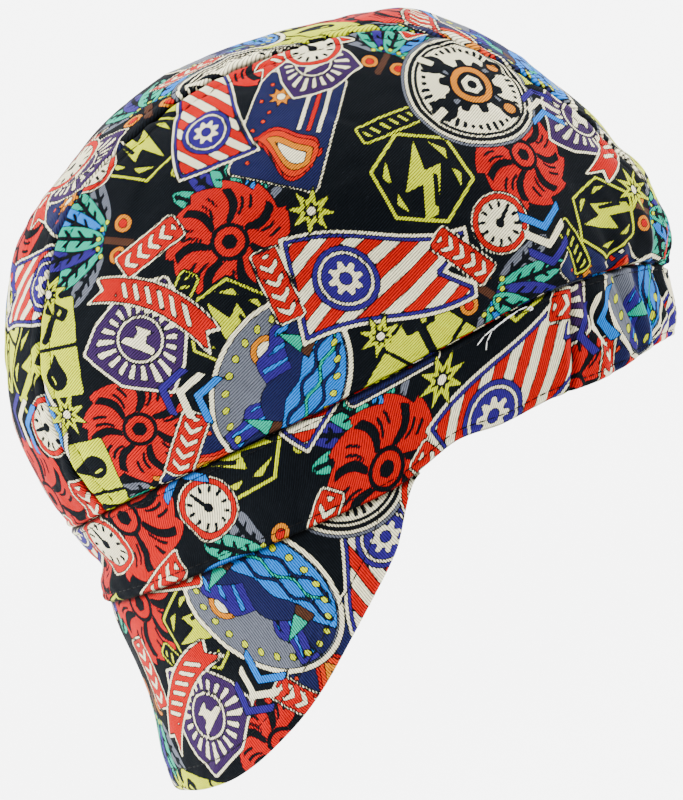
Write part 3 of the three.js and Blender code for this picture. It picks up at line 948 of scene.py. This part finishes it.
def bandRelief(up, height, along):
    lower, upper = up, height - up
    ripple = np.sin(along / (6.3 * mm) * 2 * math.pi + 2 * np.sin(along / (23 * mm)))
    return (-0.8 * mm * peak(lower, 0.5 * mm) - 0.8 * mm * peak(upper, 0.45 * mm)
            + 0.35 * mm * peak(lower - 1.3 * mm, 1.3 * mm) + 0.3 * mm * peak(upper - 1.0 * mm, 1.0 * mm)
            - 0.2 * mm * peak(lower - bandCut["lowRow"], 0.7 * mm)
            - 0.2 * mm * peak(upper - bandCut["highRow"], 0.6 * mm)
            + 0.12 * mm * ripple * peak(lower - 3 * mm, 3.5 * mm)
            + 0.10 * mm * ripple * peak(upper - 2 * mm, 3 * mm))


def makeBand(name, first, last, cut):
    across, up = evenLattice(cut["columns"], bandCut["rows"])
    lean = cut["grows"] * bandCut["lean"] * (up - bandCut["uprightAt"])
    first, last = first - lean, last + lean
    points = bandPoint(np.radians(first + (last - first) * across), up)
    away = outward(points)
    along, height = measure(points)
    soft = softDents(points, cut["seed"], (0.35 * mm, 0.034), (0.12 * mm, 0.013))
    relief = bandRelief(height, height[-1:], along) + soft * np.sin(np.pi * up) ** 0.5
    for join in (along, along[:, -1:] - along):  # the elastic length starts in a pleat under the plain one
        relief = (relief - cut["sink"] * peak(join, cut["sinkReach"])
                  + cut["swell"] * peak(join - 3.2 * mm, 1.8 * mm))
    points = points + away * (0.6 * mm + relief)[..., None]
    normal = outward(points)
    sew("bands", points, normal, height, along, bandCut["lowRow"])
    sew("bands", points, normal, height[-1:] - height, along, bandCut["highRow"])
    level = along[bandCut["rows"] // 2] + 0 * along
    uv = turned(np.stack([level, points[..., 2]], -1), 66)
    # Distances to the band's edges and joins, for the painted shade along them
    seamShadeDistance = np.minimum(np.minimum(height, height[-1:] - height), np.minimum(along, along[:, -1:] - along))
    return clothPiece(name, points, away, cap["bandWall"], bandCut["coarse"], uv, cut["print"], seamShadeDistance)


headband = makeBand("plainBand", -cap["elasticStart"], cap["elasticStart"], bandCut["plain"])
elasticBand = makeBand("elasticBand", cap["elasticStart"], 360 - cap["elasticStart"], bandCut["elastic"])
print("bands", len(headband.data.vertices), len(elasticBand.data.vertices))


# Bill

# Its sewn edge goes up into the band, and lies this far under the band's face
billCut = {"columns": 420, "rows": 90, "coarse": 1, "stitchRow": 7.8 * mm, "tuck": 2.4 * mm,
           "under": 0.7 * mm, "print": (132, 96)}


def makeBill():
    across, up = evenLattice(billCut["columns"], billCut["rows"])
    along = 2 * across - 1
    angle = np.radians(along * bill["end"])
    drop = 1 - up
    rim = bandRows[0]
    x, y = sectionPoint(angle, rim["front"] * cap["rimLength"] / 2, rim["back"] * cap["rimLength"] / 2,
                        rim["side"] * cap["rimWidth"] / 2, cap["widest"])
    swing = bill["kick"] * curveAt(bill["kickRows"], drop) * np.cos(angle) ** 2
    swing = swing - bill["inset"] - billCut["under"]
    tuck = billCut["tuck"]
    z = tuck - drop * (bill["depth"] * curveAt(bill["depthRows"], np.abs(along)) + tuck + cap["seamGap"])
    z = z + rimLift(angle)
    points = pushedOut(x, y, z, cap["widest"], swing)
    out = outward(points)
    acrossLength, height = measure(points)
    edge, edgeAlong = fromLine(points, points[0])
    hidden = np.clip((z + 9 * mm) / (8 * mm), 0, 1)  # it lies flat where it comes out from under the band
    ripple = np.sin(acrossLength / (9.3 * mm) * 2 * math.pi + 1.7 * np.sin(acrossLength / (37 * mm)))
    fromRow = edge - billCut["stitchRow"]
    soft = softDents(points, 51, (0.6 * mm, 0.052), (0.14 * mm, 0.019))
    relief = (soft - 0.75 * mm * peak(edge, 0.6 * mm)
              + 0.28 * mm * np.sin(np.pi * np.clip(edge / billCut["stitchRow"], 0, 1))
              - 0.16 * mm * peak(fromRow, 0.8 * mm) + 0.12 * mm * ripple * peak(fromRow, 6 * mm))
    points = points + out * (relief * (1 - hidden * hidden * (3 - 2 * hidden)))[..., None]
    normal = outward(points)
    shown = z < -1 * mm  # the row stops under the band
    for face, side in ((points, normal), (points - out * bill["wall"], -normal)):
        sew("bill", face, side, np.where(shown, edge, 1), edgeAlong, billCut["stitchRow"])
    uv = turned(np.stack([acrossLength[-1] + 0 * height, height - height[-1]], -1), 105)
    # Painted shadow under the band: the seam shade distance here is half the depth below the rim
    return clothPiece("softBill", points, out, bill["wall"], billCut["coarse"], uv, billCut["print"],
                      0.5 * np.clip(rimLift(angle) - z, 0, None))


billPiece = makeBill()
print("bill", len(billPiece.data.vertices))


# Loose tails of white thread on the band's upper edge, as angles from the front and shares of its height

tails = [
    dict(wide=0.42 * mm, path=[(104.6, 0.87), (106.4, 0.92), (108.8, 0.95), (111.8, 0.965), (114.6, 0.99),
                               (116.6, 0.98)]),
    dict(wide=0.36 * mm, path=[(105.8, 0.78), (106.6, 0.86), (108.2, 0.93), (110.8, 0.97), (113.6, 0.985)]),
    dict(wide=0.50 * mm, path=[(116.4, 0.95), (117.3, 0.965), (117.6, 0.935), (116.9, 0.93)]),
]
tailLift = 1.1 * mm
for tail in tails:
    spots = [Vector(bandPoint(np.array(math.radians(angle)), np.array(height)))
             for angle, height in tail["path"]]
    for start, end in zip(spots, spots[1:]):
        away = Vector((start.x - cap["widest"], start.y, 0)).normalized()
        layThread(threadEnds, start + away * tailLift, end + away * tailLift, away, tail["wide"])


def threadPiece(name, bm):
    piece = makePiece(name, bm)
    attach(piece, "root")
    return piece


threads = {name: threadPiece(name + "Topstitching", bm) for name, bm in stitchMeshes.items()}
whiteTails = threadPiece("threadTails", threadEnds)
print("topstitching", [len(piece.data.vertices) for piece in threads.values()])


# Stage, light and camera

stage = {"floor": -0.30, "reach": 4.0, "bendAt": 1.6, "bend": 1.2, "steps": 16, "high": 5.0}


def makeCamera():
    shot = {"yaw": 4.5, "lift": 4.0, "roll": 25.0, "distance": 1.5, "frameHigh": 0.250,
            "target": Vector((-0.0072, 0.0, 0.0254))}
    yaw, lift, roll = (math.radians(shot[key]) for key in ("yaw", "lift", "roll"))
    back = Vector((-math.sin(yaw) * math.cos(lift), -math.cos(yaw) * math.cos(lift), math.sin(lift)))
    right = Vector((0, 0, 1)).cross(back).normalized()
    up = back.cross(right)
    rolledRight = right * math.cos(roll) - up * math.sin(roll)
    rolledUp = right * math.sin(roll) + up * math.cos(roll)
    lens = bpy.data.cameras.new("camera")
    lens.lens = lens.sensor_width * shot["distance"] / shot["frameHigh"]
    lens.clip_start, lens.clip_end = 0.05, 50
    camera = bpy.data.objects.new("camera", lens)
    camera.location = shot["target"] + back * shot["distance"]
    camera.rotation_mode = "QUATERNION"
    camera.rotation_quaternion = Matrix((rolledRight, rolledUp, back)).transposed().to_quaternion()
    bpy.context.collection.objects.link(camera)
    bpy.context.scene.camera = camera


def plainPaint(name, colour, roughness, specular):
    paint = bpy.data.materials.new(name)
    paint.use_nodes = True
    shader = paint.node_tree.nodes["Principled BSDF"]
    shader.inputs["Base Color"].default_value = (*colour, 1)
    shader.inputs["Roughness"].default_value = roughness
    shader.inputs["Specular IOR Level"].default_value = specular
    return paint


def makeStage():  # a floor that curves up behind into a wall
    bm = bmesh.new()
    bendAt, bend = stage["bendAt"], stage["bend"]
    section = [(-stage["reach"], 0)]
    for step in range(stage["steps"] + 1):
        turn = math.radians(90 * step / stage["steps"])
        section.append((bendAt + bend * math.sin(turn), bend * (1 - math.cos(turn))))
    section.append((bendAt + bend, stage["high"]))
    bmesh.ops.create_grid(bm, x_segments=1, y_segments=len(section) - 1, size=1)
    for vert in bm.verts:
        y, z = section[round((vert.co.y + 1) / 2 * (len(section) - 1))]
        vert.co = (vert.co.x * stage["reach"], y, z + stage["floor"])
    floor = makePiece("cove", bm)
    floor.data.materials.append(plainPaint("paleFloor", (0.92, 0.92, 0.92), 0.9, 0.5))


def makeLight(name, place, target, size, power):
    lamp = bpy.data.lights.new(name, "AREA")
    lamp.shape = "DISK"
    lamp.size = size
    lamp.energy = power
    holder = bpy.data.objects.new(name, lamp)
    holder.location = place
    holder.rotation_euler = (Vector(target) - Vector(place)).to_track_quat("-Z", "Y").to_euler()
    bpy.context.collection.objects.link(holder)


def makeWorld(colour, strength):
    world = bpy.data.worlds.new("studio")
    world.use_nodes = True
    background = world.node_tree.nodes["Background"]
    background.inputs["Color"].default_value = (*colour, 1)
    background.inputs["Strength"].default_value = strength
    bpy.context.scene.world = world


lights = table("name place target size power", [  # in metres and watts
    ("key", (-0.9, -1.4, 1.5), (0, 0, 0.05), 0.8, 55),
    ("fill", (0.5, -1.9, 0.2), (0, 0, 0.03), 1.0, 8),
    ("top", (0.2, 0.5, 1.6), (0, 0, 0.05), 0.8, 15),
    ("backdropLeft", (-1.8, 0.4, 1.4), (-0.6, 2.6, 0.4), 1.2, 330),
    ("backdropRight", (1.8, 0.4, 1.4), (0.6, 2.6, 0.4), 1.2, 330),
])
makeCamera()
makeStage()
for light in lights:
    makeLight(**light)
makeWorld((0.96, 0.98, 1.0), 0.29)
print("stage ready")


# Finishes

def nodeGroup(name, outputs, inputs=()):
    group = bpy.data.node_groups.new(name, "ShaderNodeTree")
    for label, kind in inputs:
        group.interface.new_socket(label, in_out="INPUT", socket_type=kind)
    for label, kind in outputs:
        group.interface.new_socket(label, in_out="OUTPUT", socket_type=kind)
    return group, group.nodes.new("NodeGroupInput"), group.nodes.new("NodeGroupOutput")


def feed(tree, socket, value):
    if isinstance(value, bpy.types.NodeSocket):
        tree.links.new(value, socket)
    else:
        socket.default_value = value


def maths(tree, operation, first, second=0.0):
    node = tree.nodes.new("ShaderNodeMath")
    node.operation = operation
    feed(tree, node.inputs[0], first)
    feed(tree, node.inputs[1], second)
    return node.outputs[0]


def fade(tree, value, low, high, start=0.0, end=1.0):
    node = tree.nodes.new("ShaderNodeMapRange")
    node.interpolation_type = "SMOOTHSTEP"
    labels = ("Value", "From Min", "From Max", "To Min", "To Max")
    for label, amount in zip(labels, (value, low, high, start, end)):
        feed(tree, node.inputs[label], amount)
    return node.outputs["Result"]


def mixed(tree, factor, first, second, how="MIX"):
    node = tree.nodes.new("ShaderNodeMix")
    node.data_type, node.blend_type = "RGBA", how
    feed(tree, node.inputs[0], factor)
    feed(tree, node.inputs[6], first)
    feed(tree, node.inputs[7], second)
    return node.outputs[2]


def noise(tree, vector, scale, detail, stretch=(1, 1, 1)):
    place = tree.nodes.new("ShaderNodeMapping")
    place.inputs["Scale"].default_value = stretch
    tree.links.new(vector, place.inputs["Vector"])
    node = tree.nodes.new("ShaderNodeTexNoise")
    node.inputs["Scale"].default_value = scale
    node.inputs["Detail"].default_value = detail
    tree.links.new(place.outputs[0], node.inputs["Vector"])
    return node.outputs["Fac"]


# Pitch and drift are in millimetres; the rest are shares of the cloth's brightness. The groove and seam
# shares are painted shade, darkening the colour in the twill's grooves and beside seams
twill = {"pitch": 0.76, "drift": 1.3, "grooveShade": 0.30, "floats": 0.09, "uneven": 0.05, "seam": 0.22}
outlines = 0.17  # every ink stops this many millimetres short, so dark lines part them
inkBlur = 0.11   # half the width of an ink's soft edge, in millimetres
groundColour = (0.0030, 0.0044, 0.0062)


def makeTwill():  # slanted ribs across the cloth's own coordinates, in millimetres
    group, _, out = nodeGroup("twillRibs", [("Rib", "NodeSocketFloat"), ("Shade", "NodeSocketFloat"),
                                            ("Height", "NodeSocketFloat"), ("Bleed", "NodeSocketFloat")])
    place = group.nodes.new("ShaderNodeUVMap")
    place.uv_map = "cloth"
    cloth = place.outputs[0]
    split = group.nodes.new("ShaderNodeSeparateXYZ")
    group.links.new(cloth, split.inputs[0])
    drift = maths(group, "MULTIPLY", noise(group, cloth, 0.05, 1), twill["drift"])
    across = maths(group, "ADD", split.outputs[1], drift)
    wave = maths(group, "SINE", maths(group, "MULTIPLY", across, 2 * math.pi / twill["pitch"]))
    rib = fade(group, wave, -0.9, 0.25)
    floats = fade(group, noise(group, cloth, 1.0, 2, (0.8, 2.6, 1)), 0.3, 0.7, -1, 1)
    uneven = fade(group, noise(group, cloth, 0.05, 3), 0.3, 0.7, -1, 1)
    # Painted shade: the colour darkens in the grooves between ribs; floats and uneven vary the thread's
    # tone at random
    shade = maths(group, "ADD", fade(group, rib, 0, 1, twill["grooveShade"], 1.0),
                  maths(group, "ADD", maths(group, "MULTIPLY", floats, twill["floats"]),
                        maths(group, "MULTIPLY", uneven, twill["uneven"])))
    edge = group.nodes.new("ShaderNodeAttribute")  # painted seam shadow: the colour darkens near a seam, as if the seam lay in its own shadow
    edge.attribute_type, edge.attribute_name = "GEOMETRY", "fromSeam"
    seamShade = fade(group, edge.outputs["Fac"], 0.15, 1.05, twill["seam"], 1.0)
    shade = maths(group, "MULTIPLY", shade, seamShade)
    height = maths(group, "ADD", rib, maths(group, "MULTIPLY", floats, 0.3))
    bleed = maths(group, "ADD", maths(group, "MULTIPLY", maths(group, "SUBTRACT", rib, 0.5), 0.10),
                  maths(group, "MULTIPLY", floats, 0.07))
    for label, value in (("Rib", rib), ("Shade", shade), ("Height", height), ("Bleed", bleed)):
        group.links.new(value, out.inputs[label])
    return group


def makeInks():  # every ink's cover, laid over the dark ground in turn
    outputs = [("Color", "NodeSocketColor"), ("Inked", "NodeSocketFloat")]
    group, source, out = nodeGroup("screenInks", outputs, [("Bleed", "NodeSocketFloat")])
    colour, inked = (*groundColour, 1), 0.0
    for ink, tone in inks.items():
        layer = group.nodes.new("ShaderNodeAttribute")
        layer.attribute_type, layer.attribute_name = "GEOMETRY", ink
        inside = maths(group, "ADD", layer.outputs["Fac"], source.outputs["Bleed"])
        cover = fade(group, inside, outlines - inkBlur, outlines + inkBlur)
        colour = mixed(group, cover, colour, (*tone, 1))
        inked = maths(group, "MAXIMUM", inked, cover)
    group.links.new(colour, out.inputs["Color"])
    group.links.new(inked, out.inputs["Inked"])
    return group


twillRibs, screenInks = makeTwill(), makeInks()


def clothFinish(name, printed):
    paint = bpy.data.materials.new(name)
    paint.use_nodes = True
    tree = paint.node_tree
    shader = tree.nodes["Principled BSDF"]
    weave = tree.nodes.new("ShaderNodeGroup")
    weave.node_tree = twillRibs
    layer = tree.nodes.new("ShaderNodeGroup")
    layer.node_tree = screenInks
    tree.links.new(weave.outputs["Bleed"], layer.inputs["Bleed"])
    colour = layer.outputs["Color"]
    if not printed:  # the wrong side: bare cotton with the print showing faintly through
        colour = mixed(tree, 0.16, (0.50, 0.50, 0.49, 1), colour)
    # Painted shade: the weave's shade darkens the base colour in the twill's grooves and near seams
    shade = tree.nodes.new("ShaderNodeCombineColor")
    for channel in range(3):
        tree.links.new(weave.outputs["Shade"], shade.inputs[channel])
    colour = mixed(tree, 1.0, colour, shade.outputs[0], "MULTIPLY")
    tree.links.new(colour, shader.inputs["Base Color"])
    bump = tree.nodes.new("ShaderNodeBump")
    bump.inputs["Strength"].default_value = 0.55
    bump.inputs["Distance"].default_value = 0.00012
    tree.links.new(weave.outputs["Height"], bump.inputs["Height"])
    tree.links.new(bump.outputs[0], shader.inputs["Normal"])
    tree.links.new(fade(tree, layer.outputs["Inked"], 0, 1, 0.92, 0.74), shader.inputs["Roughness"])
    shader.inputs["Specular IOR Level"].default_value = 0.04
    return paint


printed, plain = clothFinish("printedTwill", True), clothFinish("plainTwill", False)
blackThread = plainPaint("blackThread", (0.0025, 0.0025, 0.003), 0.75, 0.08)
for piece in threads.values():
    piece.data.materials.append(blackThread)
whiteTails.data.materials.append(plainPaint("whiteThread", (0.8, 0.8, 0.77), 0.75, 0.08))
print("finishes ready")


# Each piece of cloth stands for its CAD node, which is hidden
# Both says that both of its faces have the print
cloths = table("piece node flat area held both", [
    (crownLeft, "crown_side_left", (0.225, 0.150), 0.0226, "stretched", False),
    (crownStrip, "crown_centre_strip", (0.360, 0.075), 0.0255, "stretched", False),
    (crownRight, "crown_side_right", (0.225, 0.150), 0.0226, "stretched", False),
    (headband, "headband", (0.400, 0.033), None, "stretched", True),
    (elasticBand, "elastic_band", (0.200, 0.031), None, "gathered", True),
    (billPiece, "bill", (0.285, 0.067), 0.0145, "hung", True),
])
for cloth in cloths:
    piece = cloth["piece"]
    piece.data.materials.append(printed)
    piece.data.materials.append(printed if cloth["both"] else plain)
    print(cloth["node"], "triangles", sum(len(face.vertices) - 2 for face in piece.data.polygons))
    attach(piece, "root")
    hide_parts(cloth["node"])
